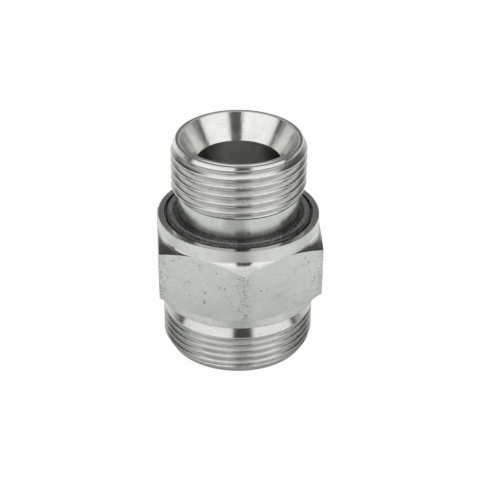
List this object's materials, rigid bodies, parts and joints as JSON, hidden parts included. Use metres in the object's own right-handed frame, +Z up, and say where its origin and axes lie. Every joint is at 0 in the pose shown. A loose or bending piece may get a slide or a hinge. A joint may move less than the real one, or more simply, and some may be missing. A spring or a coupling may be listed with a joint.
{
  "type": "straight adapter",
  "caption": "Straight hydraulic adapter: a hexagon between a pipe-threaded stud with a captive seal and a coned seat, and a metric thread with a tube cone.",
  "frame": {"origin": "centre of the metric end's face, which the adapter stands on", "axes": "+Z up along the bore towards the pipe-threaded stud, a corner of the hexagon towards -Y, two of its flats facing +X and -X"},
  "size_m": [0.032, 0.0368, 0.0452],
  "materials": {
    "plated_steel": "bright zinc plate over turned steel",
    "seal_rubber": "matt black elastomer"
  },
  "bodies": {
    "root": {"adapter_body": "plated_steel", "seal_ring": "seal_rubber"}
  },
  "joints": []
}
